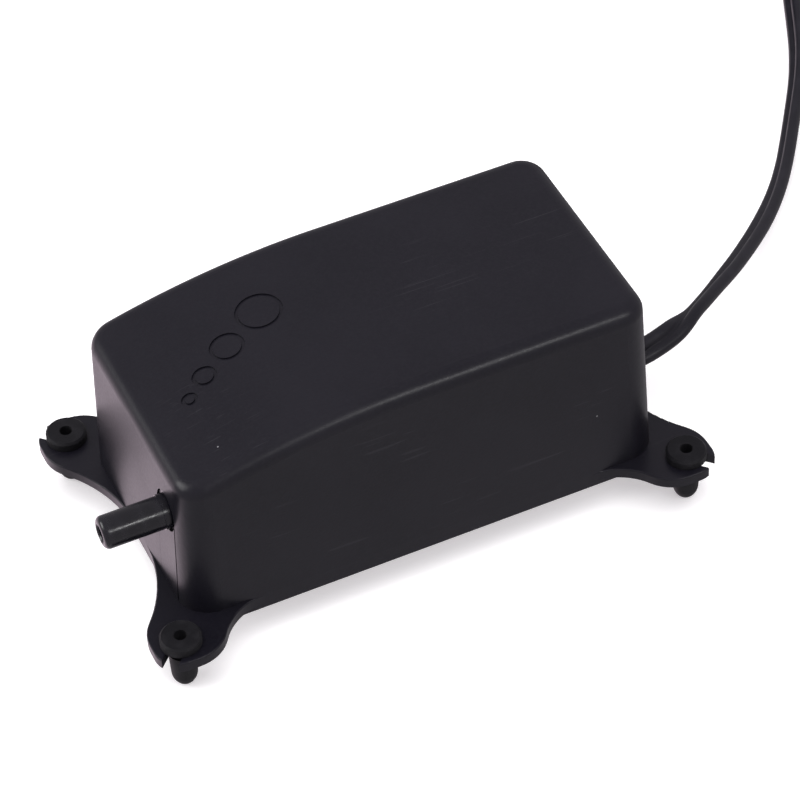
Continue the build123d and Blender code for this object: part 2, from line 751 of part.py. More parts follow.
# ================================================================ coil on its bobbin
def coil_section(grow, inner_y, inner_z):
    """Cross-section of the winding or its tape, with a rectangular hole."""
    with Locations((arm_y, arm_z)):
        RectangleRounded(16.0 + 2 * grow, 23.2 + 2 * grow, 3.0 + grow)
        Rectangle(2 * inner_y, 2 * inner_z, mode=Mode.SUBTRACT)


bobbin_front = core_front + 1.0
bobbin_back = window_end - 0.3
tube_half_y = 4.4
tube_half_z = core_half_z + 0.9
with BuildPart() as coil_bobbin:
    block(bobbin_front, bobbin_back, arm_y - tube_half_y, arm_y + tube_half_y,
          arm_z - tube_half_z, arm_z + tube_half_z)
    for x in (bobbin_front, bobbin_back - flange):
        with BuildSketch(across(x)):
            with Locations((arm_y, arm_z)):
                RectangleRounded(17.6, 24.8, 2.0)
        extrude(amount=flange)
    block(bobbin_front, bobbin_back, arm_y - 3.6, arm_y + 3.6,
          core_low - 0.1, core_high + 0.1, Mode.SUBTRACT)
save(coil_bobbin, "coil_bobbin")

wind_start = bobbin_front + flange + 0.05
wind_length = bobbin_back - flange - 0.05 - wind_start
with BuildPart() as coil_winding:
    with BuildSketch(across(wind_start)):
        coil_section(0, tube_half_y, tube_half_z)
    extrude(amount=wind_length)
save(coil_winding, "coil_winding")

with BuildPart() as coil_tape:
    with BuildSketch(across(wind_start + 0.1)):
        with Locations((arm_y, arm_z)):
            RectangleRounded(16.6, 23.8, 3.3)
            RectangleRounded(16.0, 23.2, 3.0, mode=Mode.SUBTRACT)
    extrude(amount=wind_length - 0.2)
save(coil_tape, "coil_tape")

terminal_z = arm_z - 11.0
terminal_end = bobbin_back + 2.6
with BuildPart() as coil_terminals:
    for y in terminal_ys:
        block(bobbin_back, terminal_end, y - 0.5, y + 0.5, terminal_z - 0.5, terminal_z + 0.5)
save(coil_terminals, "coil_terminals")


# ================================================================ cord inside the case
def cord_slot(grow):
    """Section of the flat twin cord, standing on its edge, grown all round."""
    with Locations((cord_y, cord_z)):
        SlotOverall(cord_diameter + 2 * grow, cord_diameter / 2 + 2 * grow, rotation=90)


with BuildPart() as cord_tail:
    with BuildSketch(across(cord_tail_start)):
        cord_slot(0)
    extrude(amount=cord_exit_x - cord_tail_start)
save(cord_tail, "cord_tail")

with BuildPart() as lead_wires:
    for wire_z, pin_y in ((cord_z + 1.3, terminal_ys[0]), (cord_z - 1.3, terminal_ys[1])):
        with BuildLine() as lead_path:
            FilletPolyline(
                (case_x + cord_tail_start, cord_y, wire_z),
                (case_x + cord_tail_start - 2.0, cord_y, wire_z),
                (case_x + terminal_end + 2.0, pin_y, terminal_z),
                (case_x + terminal_end, pin_y, terminal_z),
                radius=1.0,
            )
        with BuildSketch(Plane(origin=lead_path.line @ 0, z_dir=lead_path.line % 0)):
            Circle(0.55)
        sweep(path=lead_path.line)
save(lead_wires, "lead_wires")

clamp_ends = (cord_clamp_x - 1.7, cord_clamp_x + 1.7)
with BuildPart() as cord_clamp:
    block(*clamp_ends, cord_y - 6.2, cord_y + 6.2, part_line, cord_clamp_top)
    with BuildSketch(across(clamp_ends[0])):
        cord_slot(1.5)
    extrude(amount=3.4)
    with BuildSketch(across(clamp_ends[0])):
        cord_slot(0.05)
        with Locations((cord_y, part_line + 0.8)):
            Rectangle(cord_diameter / 2 + 0.1, 4.0)
    extrude(amount=3.4, mode=Mode.SUBTRACT)
    block(*clamp_ends, cord_y - 7, cord_y + 7, 0, part_line, Mode.SUBTRACT)
    rods(level(0), cord_clamp_holes, 1.05, part_line, cord_clamp_top, Mode.SUBTRACT)
save(cord_clamp, "cord_clamp")

cord_screw_places = [(x, -y) for x, y in cord_clamp_holes]
with BuildPart() as clamp_screws:
    screws(downward(cord_clamp_top), cord_screw_places, 0.9, 4.2, 1.5, 0.8)
save(clamp_screws, "clamp_screws")

stem = notch_half - gap
stem_start = case_length / 2 - wall - 0.6
stem_end = case_length / 2 + 0.3
with BuildPart() as cord_grommet:
    rods(across(0), [(cord_y, cord_z)], stem, stem_start, stem_end)
    block(stem_start, stem_end, cord_y - stem, cord_y + stem, part_line, cord_z)
    for start, end in ((stem_start - 1.6, stem_start), (stem_end - 0.2, cord_exit_x)):
        with BuildSketch(across(start)):
            with Locations((cord_y, part_line + 4.3)):
                RectangleRounded(10.4, 8.6, 2.4)
        extrude(amount=end - start)
    block(40, 60, cord_y - 6, cord_y + 6, 0, part_line, Mode.SUBTRACT)
    with BuildSketch(across(40)):
        cord_slot(0.05)
    extrude(amount=20, mode=Mode.SUBTRACT)
save(cord_grommet, "cord_grommet")

# ================================================================ mains cord outside the case
route = [
    (case_x + cord_exit_x, cord_y, cord_z),
    (61.5, -3.4, 13.7),
    (70.5, 0.4, 13.1),
    (79.8, 7.7, 11.5),
    (90.8, 17.0, 8.7),
    (102.3, 28.0, 5.6),
    (112.8, 40.0, 3.4),
    (123.0, 54.9, 2.6),
    (133.5, 72.4, 2.6),
    (143.0, 90.9, 2.6),
    (152.0, 108.9, 2.65),
    (158.5, 123.4, 2.6),
]
points = [Vector(*p) for p in route]
runs = [b - a for a, b in zip(points, points[1:])]
radii = []
for before, after in zip(runs, runs[1:]):
    half_turn = math.radians(before.get_angle(after)) / 2
    radii.append(0.45 * min(before.length, after.length) / math.tan(half_turn))
print("cord radii", [round(r) for r in radii])
with BuildPart() as power_cord:
    with BuildLine() as cord_path:
        FilletPolyline(*points, radius=radii)
    with BuildSketch(Plane(origin=route[0], x_dir=(0, 1, 0), z_dir=(1, 0, 0))):
        Circle(cord_diameter / 2)
    sweep(path=cord_path.line)
cord_section = math.pi * (cord_diameter / 2) ** 2
cord_length = sum(e.length for e in cord_path.edges())
expected = cord_section * cord_length
print("cord volume over section times length", power_cord.part.volume / expected)
print("cord length outside the coil", cord_length)
save(power_cord, "power_cord")

with BuildPart() as cord_coil:
    with BuildSketch(Plane.XY):
        with Locations(coil_centre):
            Circle(coil_outer)
            Circle(coil_inner, mode=Mode.SUBTRACT)
    extrude(amount=coil_height)
    fillet(cord_coil.edges().filter_by(GeomType.CIRCLE), 2.4)
save(cord_coil, "cord_coil")

# ================================================================ plug
plug_offset = coil_outer - 3.0      # the cord leaves the coil along its outermost turn
plug_y = coil_centre[1] + plug_offset
relief_start = coil_centre[0] - math.sqrt(coil_outer**2 - plug_offset**2) + 1.0
relief_end = relief_start - relief_length
body_front = relief_end - body_length


def plug_plane(x):
    """Plane facing -X at x, centred on the plug; local x is -Y and local y is +Z."""
    return Plane(origin=(x, plug_y, plug_z), x_dir=(0, -1, 0), z_dir=(-1, 0, 0))


with BuildPart() as plug_relief:
    with BuildSketch(plug_plane(relief_start)):
        RectangleRounded(6.6, 4.2, 2.0)
    with BuildSketch(plug_plane(relief_end)):
        RectangleRounded(10.0, 7.6, 3.0)
    loft()
save(plug_relief, "plug_relief")

with BuildPart() as plug_body:
    with BuildSketch(plug_plane(relief_end)):
        RectangleRounded(15.0, 11.0, 4.0)
    with BuildSketch(plug_plane(relief_end - 8.0)):
        RectangleRounded(22.0, 14.0, 5.0)
    with BuildSketch(plug_plane(body_front)):
        RectangleRounded(24.0, 16.0, 5.0)
    loft(ruled=True)
    fillet(plug_body.faces().sort_by(Axis.X)[0].edges(), 1.2)
save(plug_body, "plug_body")

with BuildPart() as plug_pins:
    with BuildSketch(plug_plane(body_front)):
        with Locations((-pin_pitch / 2, 0), (pin_pitch / 2, 0)):
            Rectangle(1.5, 6.3)
    extrude(amount=17.0)
    chamfer(plug_pins.faces().group_by(Axis.X)[0].edges(), 0.4)
save(plug_pins, "plug_pins")
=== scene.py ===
import json
import math
import bpy
import bmesh
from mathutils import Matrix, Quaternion, Vector


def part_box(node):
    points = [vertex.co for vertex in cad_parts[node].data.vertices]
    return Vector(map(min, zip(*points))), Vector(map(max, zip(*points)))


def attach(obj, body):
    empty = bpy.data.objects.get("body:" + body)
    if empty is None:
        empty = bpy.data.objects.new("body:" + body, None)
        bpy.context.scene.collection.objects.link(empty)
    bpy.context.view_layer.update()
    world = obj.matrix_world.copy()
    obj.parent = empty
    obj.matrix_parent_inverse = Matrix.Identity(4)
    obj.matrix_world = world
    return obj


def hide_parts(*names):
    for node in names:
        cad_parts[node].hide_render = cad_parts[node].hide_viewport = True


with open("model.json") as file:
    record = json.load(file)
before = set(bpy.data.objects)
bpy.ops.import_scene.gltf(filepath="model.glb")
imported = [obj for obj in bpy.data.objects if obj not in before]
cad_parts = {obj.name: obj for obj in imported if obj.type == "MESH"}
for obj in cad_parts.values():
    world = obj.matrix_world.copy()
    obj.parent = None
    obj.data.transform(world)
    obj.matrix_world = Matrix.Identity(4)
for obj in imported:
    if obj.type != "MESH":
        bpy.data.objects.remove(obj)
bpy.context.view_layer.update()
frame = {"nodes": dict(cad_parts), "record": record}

# Aquarium air pump: looks, cord, light and camera. Everything is in metres, in the row's frame.
MM = 0.001
nodes = frame["nodes"]
body = "pump"               # the body that the cord and its tie ride on

# ---------------------------------------------------------------- camera
camera_place = Vector((-174.05, -442.34, 498.85)) * MM
camera_back = Vector((-0.2684, -0.6541, 0.7072))
camera_roll = math.radians(-3.4)

camera_data = bpy.data.cameras.new("camera")
camera_data.lens = 159.2
camera_data.sensor_width = 36.0
camera_data.clip_start = 0.01
camera_data.clip_end = 20.0
camera = bpy.data.objects.new("camera", camera_data)
bpy.context.scene.collection.objects.link(camera)
camera.location = camera_place
camera.rotation_mode = "QUATERNION"
turned = (-camera_back).to_track_quat("-Z", "Y")
camera.rotation_quaternion = turned @ Quaternion((0, 0, 1), camera_roll)
bpy.context.scene.camera = camera
bpy.context.scene.view_settings.view_transform = "Standard"


# ================================================================ meshes
def mesh_object(name, points, faces, smooth=True):
    """A new mesh object in the row's frame."""
    mesh = bpy.data.meshes.new(name)
    mesh.from_pydata([tuple(p) for p in points], [], faces)
    mesh.validate()
    shape = bmesh.new()
    shape.from_mesh(mesh)
    bmesh.ops.recalc_face_normals(shape, faces=shape.faces)
    shape.to_mesh(mesh)
    shape.free()
    for polygon in mesh.polygons:
        polygon.use_smooth = smooth
    piece = bpy.data.objects.new(name, mesh)
    bpy.context.scene.collection.objects.link(piece)
    return piece


def skin(name, points, ring):
    """Mesh over a row of outlines with the same number of points each, closed at both ends."""
    faces = []
    for here in range(0, len(points) - ring, ring):
        there = here + ring
        for i in range(ring):
            j = (i + 1) % ring
            faces.append((here + i, here + j, there + j, there + i))
    faces.append(tuple(range(ring)))
    faces.append(tuple(reversed(range(len(points) - ring, len(points)))))
    return mesh_object(name, points, faces)


def headings(path):
    """Each point of a path with the direction in which the path runs there."""
    for k, place in enumerate(path):
        yield place, (path[min(k + 1, len(path) - 1)] - path[max(k - 1, 0)]).normalized()


def tube(name, path, section):
    """Carries a section along a path. section(k) gives the outline at point k as (side, up) pairs."""
    points = []
    for k, (place, ahead) in enumerate(headings(path)):
        side = Vector((0, 0, 1)).cross(ahead).normalized()
        up = ahead.cross(side)
        points += [place + side * u + up * v for u, v in section(k)]
    return skin(name, points, len(section(0)))


# ================================================================ mains cord
cord_width = 5.2 * MM
core_radius = cord_width / 4
# where the cord is laid, from the grommet to the coil, in mm
route = [
    (52.5, -4.5, 13.7),
    (61.5, -3.3, 14.4),
    (70.5, 0.8, 14.2),
    (79.8, 7.7, 12.0),
    (91.1, 16.9, 8.8),
    (102.8, 27.8, 5.6),
    (113.4, 39.7, 3.4),
    (123.9, 54.6, 2.6),
    (135.6, 71.8, 2.6),
    (144.3, 90.5, 2.6),
    (152.6, 108.8, 2.65),
    (158.5, 123.4, 2.6),
]
coil_margin = 3.0 * MM      # from the middle of the outermost turns to the coil's outside
ring_low, ring_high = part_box("cord_coil")
relief_low, relief_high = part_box("plug_relief")
coil_centre = (ring_low + ring_high) / 2
outer_turn = (ring_high.x - ring_low.x) / 2 - coil_margin
inner_turn = outer_turn - cord_width
layer = [cord_width * (k + 0.5) for k in range(3)]       # heights of the coil's three layers
# radius and height of each turn: the first lies on the floor, and the cord leaves the last for the plug
turns = [
    (outer_turn, layer[0]),
    (inner_turn, layer[0]),
    (inner_turn, layer[1]),
    (inner_turn, layer[2]),
    (outer_turn, layer[2]),
    (outer_turn, layer[1]),
]
turn_points = 24            # control points in a whole turn
change_share = 0.2          # share of a turn over which the cord moves to its next place
bulge = 1.2 * MM            # how far the cord swings out where it steps down over a turn


def eased(value, start, end):
    """Smooth step from 0 at start to 1 at end."""
    share = max(0.0, min(1.0, (value - start) / (end - start)))
    return share * share * (3 - 2 * share)


def coil_route():
    """Control points of the coil's turns, counter-clockwise from the end of the laid route."""
    start = Vector(route[-1]) * MM - coil_centre
    first = math.atan2(start.y, start.x)
    total = (len(turns) - 1) * math.tau + (math.pi / 2 - first)
    steps = round(total / math.tau * turn_points)
    places = []
    for k in range(1, steps + 1):
        done = k / steps * total / math.tau
        at = min(int(done), len(turns) - 1)
        radius, height = turns[at]
        next_radius, next_height = turns[min(at + 1, len(turns) - 1)]
        ease = eased(done - at, 1 - change_share, 1)
        radius += (next_radius - radius) * ease
        radius += bulge * math.sin(math.pi * ease) if next_height < height else 0
        angle = first + done * math.tau
        places.append(Vector((
            coil_centre.x + radius * math.cos(angle),
            coil_centre.y + radius * math.sin(angle),
            height + (next_height - height) * ease,
        )))
    return places


plug_y, plug_z = ((relief_low + relief_high) / 2).yz
lead_out = [
    Vector((coil_centre.x - 5.0 * MM, plug_y, plug_z - 0.3 * MM)),      # off the outermost turn
    Vector((relief_high.x + 2.0 * MM, plug_y, plug_z)),                 # in front of the strain relief
    Vector((relief_high.x - 3.0 * MM, plug_y, plug_z)),                 # inside it
]
controls = [Vector(p) * MM for p in route] + coil_route() + lead_out


def spline_points(places, steps):
    """Points along the smooth NURBS line whose control points are the places given."""
    data = bpy.data.curves.new("line", "CURVE")
    data.dimensions = "3D"
    data.resolution_u = steps
    line = data.splines.new("NURBS")
    line.points.add(len(places) - 1)
    for point, place in zip(line.points, places):
        point.co = (*place, 1)
    line.order_u = 3
    line.use_endpoint_u = True
    carrier = bpy.data.objects.new("line", data)
    bpy.context.scene.collection.objects.link(carrier)
    bpy.context.view_layer.update()
    mesh = bpy.data.meshes.new_from_object(carrier)
    found = [v.co.copy() for v in mesh.vertices]
    bpy.data.objects.remove(carrier)
    return found


cord_path = spline_points(controls, 10)
coil_from = len(cord_path) * len(route) // len(controls)    # the path's point where the coil begins


def twin_outline(turn):
    """Outline of the flat twin cord: two round cores with a groove on each side between them."""
    groove = math.radians(62)           # how far each core's arc runs on past its widest place
    core_steps = 12                     # straight pieces in a core's arc
    flatness = 0.995                    # a core's size along the cord's width, as a share of that across it
    outline = []
    for side in (1, -1):
        for k in range(core_steps + 1):
            angle = -groove + k / core_steps * (math.pi + 2 * groove)
            along = side * (core_radius + core_radius * flatness * math.sin(angle))
            outline.append((side * core_radius * math.cos(angle), along))
    c, s = math.cos(turn), math.sin(turn)
    return [(u * c - v * s, u * s + v * c) for u, v in outline]


# how the flat cord rolls on its way to the coil: angle, and the shares of that way where it starts and ends
rolls = [(-0.92, 0.005, 0.04), (-1.50, 0.05, 0.15), (0.20, 0.19, 0.27), (-0.40, 0.34, 0.52)]
settle = 60                 # points of the path over which the last roll passes into the coil's slow waves


def cord_section(k):
    """The cord stands on its edge in the grommet, rolls on its way to the coil, and sways a little there."""
    lean = sum(roll * eased(k / coil_from, start, end) for roll, start, end in rolls)
    sway = 0.7 * math.sin(k * 0.021) + 0.5 * math.sin(k * 0.0083 + 1.0) + 0.6
    into = eased(k, coil_from, coil_from + settle)
    return twin_outline(lean + (sway - lean) * into)


cord = tube("mains_cord", cord_path, cord_section)
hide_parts("power_cord", "cord_coil")
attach(cord, body)


def coil_tie():
    """Soft wire tie, wrapped twice round the coil's turns."""
    clearance = 0.8 * MM
    wide = (outer_turn - inner_turn) / 2 + cord_width / 2 + clearance
    high = ring_high.z / 2 + clearance
    lowest = 1.5 * MM - high            # measured, like high, from the coil's middle height
    spread = 3.4 * MM                   # between the tie's two ends, along the cord
    corner = 3.2                        # 2 is an ellipse, more is squarer
    steps = 72
    strip = [(-1.6, -0.28), (-1.45, 0.28), (-0.4, 0.42), (0.4, 0.42), (1.45, 0.28), (1.6, -0.28)]
    place = math.radians(205)
    out = Vector((math.cos(place), math.sin(place), 0))
    around = Vector((-math.sin(place), math.cos(place), 0))
    middle = Vector((coil_centre.x, coil_centre.y, ring_high.z / 2)) + out * (inner_turn + outer_turn) / 2
    path = []
    for k in range(steps + 1):
        angle = -math.pi / 2 + k / steps * 2 * math.tau
        c, s = math.cos(angle), math.sin(angle)
        reach = (abs(c) ** corner + abs(s) ** corner) ** (-1 / corner)
        lift = Vector((0, 0, max(high * s * reach, lowest)))
        path.append(middle + out * (wide * c * reach) + lift + around * (k / steps - 0.5) * spread)
    points = []
    for here, ahead in headings(spline_points(path, 4)):
        up = ahead.cross(around).normalized()
        points += [here + around * (u * MM) - up * (v * MM) for u, v in strip]
    piece = skin("coil_tie", points, len(strip))
    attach(piece, body)
    return piece


tie = coil_tie()


# ================================================================ material tools
class Paint:
    """A material's node tree, with one short call for each kind of node."""

    def __init__(self, name):
        self.material = bpy.data.materials.new(name)
        self.material.use_nodes = True
        self.tree = self.material.node_tree
        self.shader = self.tree.nodes["Principled BSDF"]
        self.where = self.tree.nodes.new("ShaderNodeTexCoord").outputs["Object"]

    def node(self, kind, values=(), **settings):
        """A new node with its settings, and values or links for its inputs."""
        made = self.tree.nodes.new(kind)
        for key, value in settings.items():
            setattr(made, key, value)
        for key, value in dict(values).items():
            self.feed(made.inputs[key], value)
        return made

    def feed(self, socket, value):
        """Sets a socket, or links an output to it."""
        if isinstance(value, bpy.types.NodeSocket):
            self.tree.links.new(value, socket)
        else:
            socket.default_value = value

    def place(self, stretch=(1, 1, 1), turn=(0, 0, 0)):
        """Object coordinates, stretched and turned."""
        values = {"Vector": self.where, "Scale": stretch, "Rotation": turn}
        return self.node("ShaderNodeMapping", values).outputs["Vector"]

    def noise(self, size, detail=3.0, rough=0.5, place=None, distortion=0.0):
        """Noise whose blobs are about size metres across."""
        values = {"Vector": place or self.where, "Scale": 1 / size, "Detail": detail,
                  "Roughness": rough, "Distortion": distortion}
        return self.node("ShaderNodeTexNoise", values).outputs["Fac"]

    def span(self, value, low, high, to_low=0.0, to_high=1.0):
        """Maps low..high smoothly to to_low..to_high, clamped."""
        values = {"Value": value, "From Min": low, "From Max": high, "To Min": to_low, "To Max": to_high}
        return self.node("ShaderNodeMapRange", values, interpolation_type="SMOOTHSTEP").outputs["Result"]

    def math(self, kind, a, b):
        """Arithmetic on two values."""
        made = self.node("ShaderNodeMath", {0: a, 1: b}, operation=kind)
        return made.outputs["Value"]

    def mix(self, share, a, b):
        """Blend of two colours."""
        made = self.node("ShaderNodeMix", data_type="RGBA")
        colours = [s for s in made.inputs if s.type == "RGBA"]
        self.feed(made.inputs["Factor"], share)
        self.feed(colours[0], a)
        self.feed(colours[1], b)
        return [s for s in made.outputs if s.type == "RGBA"][0]

    def bump(self, height, depth, strength):
        """Adds relief of the given depth in metres to what is there already."""
        values = {"Height": height, "Distance": depth, "Strength": strength}
        made = self.node("ShaderNodeBump", values)
        old = self.shader.inputs["Normal"]
        if old.is_linked:
            self.tree.links.new(old.links[0].from_socket, made.inputs["Normal"])
        self.tree.links.new(made.outputs["Normal"], old)

    def set(self, **values):
        """Feeds the shader's inputs, such as base_color or roughness."""
        for key, value in values.items():
            name = {"ior_level": "Specular IOR Level", "base_color": "Base Color",
                    "coat": "Coat Weight", "sheen": "Sheen Weight"}.get(key, key.title())
            self.feed(self.shader.inputs[name], value)


def rgb(red, green, blue):
    return (red, green, blue, 1.0)


# ================================================================ plastics and rubbers
def dust(paint, base, cell=9.0 * MM, speck=0.22 * MM, share=0.16):
    """Small pale specks, one in some of the cells of a Voronoi pattern."""
    values = {"Vector": paint.where, "Scale": 1 / cell, "Randomness": 1.0}
    cells = paint.node("ShaderNodeTexVoronoi", values)
    near = paint.span(cells.outputs["Distance"], speck / cell * 0.5, speck / cell, 1.0, 0.0)
    red = paint.node("ShaderNodeSeparateColor", {"Color": cells.outputs["Color"]}).outputs["Red"]
    chosen = paint.math("LESS_THAN", red, share)
    return paint.mix(paint.math("MULTIPLY", near, chosen), base, rgb(0.20, 0.20, 0.21))


def scratches(paint, turn, amount):
    """Fine dashes, far longer than wide, only here and there."""
    place = paint.place((1 / 14, 4.0, 1.0), (0, 0, turn))
    lines = paint.span(paint.noise(1.1 * MM, 1.0, 0.4, place), 0.70, 0.76)
    patches = paint.span(paint.noise(19 * MM, 1.0), 0.50, 0.64)
    return paint.math("MULTIPLY", paint.math("MULTIPLY", lines, patches), amount)


def case_plastic():
    """Black ABS with a fine spark-eroded grain, a little dust and light handling marks."""
    paint = Paint("case_plastic")
    cloud = paint.noise(26 * MM, 3.0)
    fine = paint.noise(0.55 * MM, 2.0, 0.6)
    base = paint.mix(paint.span(cloud, 0.3, 0.7), rgb(0.0052, 0.0048, 0.0080), rgb(0.0070, 0.0064, 0.0102))
    base = paint.mix(paint.span(fine, 0.35, 0.75, 0.0, 0.35), base, rgb(0.011, 0.0105, 0.0145))
    marks = paint.math("ADD", scratches(paint, 0.6, 0.35), scratches(paint, -0.9, 0.25))
    base = paint.mix(marks, base, rgb(0.035, 0.034, 0.040))
    base = dust(paint, base)
    rough = paint.span(cloud, 0.3, 0.7, 0.30, 0.35)
    rough = paint.math("ADD", rough, paint.span(fine, 0.2, 0.8, -0.02, 0.04))
    paint.set(base_color=base, roughness=rough, ior_level=0.36)
    paint.bump(fine, 0.018 * MM, 0.7)
    paint.bump(paint.noise(0.9 * MM, 2.0), 0.014 * MM, 0.6)
    paint.bump(paint.noise(11 * MM, 2.0), 0.05 * MM, 0.5)
    return paint.material


def nozzle_plastic():
    """The same black plastic from a polished mould, with faint rings left by hoses."""
    paint = Paint("nozzle_plastic")
    rings = paint.noise(1.4 * MM, 2.0, 0.5, paint.place((1.0, 0.05, 0.05)))
    fine = paint.noise(0.5 * MM, 2.0)
    base = paint.mix(paint.span(rings, 0.4, 0.7), rgb(0.0035, 0.0033, 0.0052), rgb(0.0060, 0.0056, 0.0085))
    rough = paint.math("ADD", paint.span(rings, 0.3, 0.7, 0.17, 0.23), paint.span(fine, 0.3, 0.8, 0.0, 0.08))
    paint.set(base_color=dust(paint, base, 5 * MM, 0.15 * MM, 0.2), roughness=rough, ior_level=0.6)
    paint.bump(fine, 0.018 * MM, 0.7)
    paint.bump(rings, 0.03 * MM, 0.5)
    return paint.material


def rubber(name, tone, rough=0.62):
    """Moulded rubber: matt, slightly bloomed in patches, with a soft skin."""
    paint = Paint(name)
    bloom = paint.noise(3.2 * MM, 4.0, 0.6)
    fine = paint.noise(0.35 * MM, 2.0)
    dark = rgb(tone * 0.75, tone * 0.72, tone * 0.95)
    pale = rgb(tone * 1.9, tone * 1.82, tone * 2.2)
    base = paint.mix(paint.span(bloom, 0.42, 0.72, 0.0, 0.8), dark, pale)
    base = dust(paint, base, 3.0 * MM, 0.14 * MM, 0.12)
    paint.set(base_color=base, roughness=paint.span(bloom, 0.3, 0.7, rough - 0.06, rough + 0.1),
              ior_level=0.28, sheen=0.02)
    paint.bump(fine, 0.03 * MM, 0.7)
    paint.bump(bloom, 0.06 * MM, 0.5)
    return paint.material


def cord_pvc(name="cord_pvc", gloss=0.36):
    """Satin PVC with a fine grain and scuffs."""
    paint = Paint(name)
    fine = paint.noise(0.4 * MM, 2.0)
    scuff = paint.noise(6.0 * MM, 4.0, 0.6)
    base = paint.mix(paint.span(scuff, 0.45, 0.75), rgb(0.0060, 0.0056, 0.0090), rgb(0.0120, 0.0112, 0.0160))
    paint.set(base_color=dust(paint, base, 6 * MM, 0.16 * MM, 0.15),
              roughness=paint.span(scuff, 0.3, 0.7, gloss - 0.05, gloss + 0.1), ior_level=0.42)
    paint.bump(fine, 0.012 * MM, 0.6)
    paint.bump(scuff, 0.08 * MM, 0.4)
    return paint.material


def clear_nylon(name, pale, dark, rough=0.42):
    """Moulded plastic of the inner parts, with flow clouds and a fine grain."""
    paint = Paint(name)
    flow = paint.noise(7 * MM, 4.0, 0.6, paint.place((1, 1, 0.5)), 0.8)
    fine = paint.noise(0.5 * MM, 2.0)
    base = paint.mix(paint.span(flow, 0.3, 0.7), dark, pale)
    paint.set(base_color=base, ior_level=0.45,
              roughness=paint.span(flow, 0.3, 0.7, rough - 0.05, rough + 0.08))
    paint.bump(fine, 0.02 * MM, 0.6)
    paint.bump(flow, 0.06 * MM, 0.5)
    return paint.material


# ================================================================ metals, winding and felt
def metal(name, colour, rough, lines=(1, 1, 1), size=0.6 * MM, tarnish=(0.30, 0.28, 0.25)):
    """Bare or plated metal, with working lines stretched along the directions given as small numbers."""
    paint = Paint(name)
    grain = paint.noise(size, 3.0, 0.6, paint.place(lines))
    stain = paint.noise(5 * MM, 4.0, 0.6)
    worn = rgb(*[c * t for c, t in zip(colour, (0.72, 0.70, 0.66))])
    base = paint.mix(paint.span(grain, 0.3, 0.7), rgb(*colour), worn)
    base = paint.mix(paint.span(stain, 0.60, 0.80, 0.0, 0.5), base, rgb(*tarnish))
    paint.set(base_color=base, metallic=1.0,
              roughness=paint.span(grain, 0.3, 0.7, rough - 0.06, rough + 0.08))
    paint.bump(grain, 0.012 * MM, 0.6)
    return paint.material


def banded(name, pitch, direction, dark, pale, rough, depth):
    """Metal in bands across a direction: the edges of stacked sheets, or the turns of a winding."""
    paint = Paint(name)
    metallic = 0.9
    values = {"Vector": paint.where, "Scale": math.tau / 20 / pitch, "Distortion": 0.0}
    wave = paint.node("ShaderNodeTexWave", values, wave_type="BANDS", bands_direction=direction,
                      wave_profile="SIN").outputs["Fac"]
    uneven = paint.noise(3 * MM, 3.0)
    base = paint.mix(wave, rgb(*dark), rgb(*pale))
    base = paint.mix(paint.span(uneven, 0.55, 0.8, 0.0, 0.4), base, rgb(*[c * 0.5 for c in dark]))
    paint.set(base_color=base, metallic=metallic,
              roughness=paint.span(uneven, 0.3, 0.7, rough - 0.06, rough + 0.08))
    paint.bump(wave, depth, 0.8)
    return paint.material


def ferrite():
    """Sintered magnet: dark, matt and slightly chipped."""
    paint = Paint("magnet_ferrite")
    chips = paint.noise(1.2 * MM, 5.0, 0.7)
    base = paint.mix(paint.span(chips, 0.4, 0.7), rgb(0.045, 0.044, 0.047), rgb(0.10, 0.098, 0.10))
    paint.set(base_color=base, roughness=paint.span(chips, 0.3, 0.7, 0.55, 0.75), ior_level=0.5)
    paint.bump(chips, 0.08 * MM, 0.7)
    return paint.material


def felt():
    """Needled white felt: short fibres in every direction."""
    paint = Paint("filter_felt")
    one = paint.noise(0.7 * MM, 3.0, 0.6, paint.place((0.15, 1, 1), (0, 0, 0.5)))
    two = paint.noise(0.7 * MM, 3.0, 0.6, paint.place((1, 0.15, 1), (0, 0, 0.2)))
    fibre = paint.math("MAXIMUM", one, two)
    base = paint.mix(paint.span(fibre, 0.4, 0.7), rgb(0.52, 0.52, 0.50), rgb(0.82, 0.82, 0.80))
    paint.set(base_color=base, roughness=0.95, sheen=0.4)
    paint.bump(fibre, 0.12 * MM, 0.9)
    return paint.material


def tape():
    """Glossy polyester tape over the winding, a little wrinkled."""
    paint = Paint("coil_tape")
    wrinkle = paint.noise(2.2 * MM, 3.0, 0.5, paint.place((1, 0.4, 0.4)), 0.6)
    base = paint.mix(paint.span(wrinkle, 0.3, 0.7), rgb(0.55, 0.36, 0.04), rgb(0.75, 0.54, 0.09))
    paint.set(base_color=base, roughness=paint.span(wrinkle, 0.3, 0.7, 0.18, 0.3), ior_level=0.5, coat=0.3)
    paint.bump(wrinkle, 0.10 * MM, 0.6)
    return paint.material


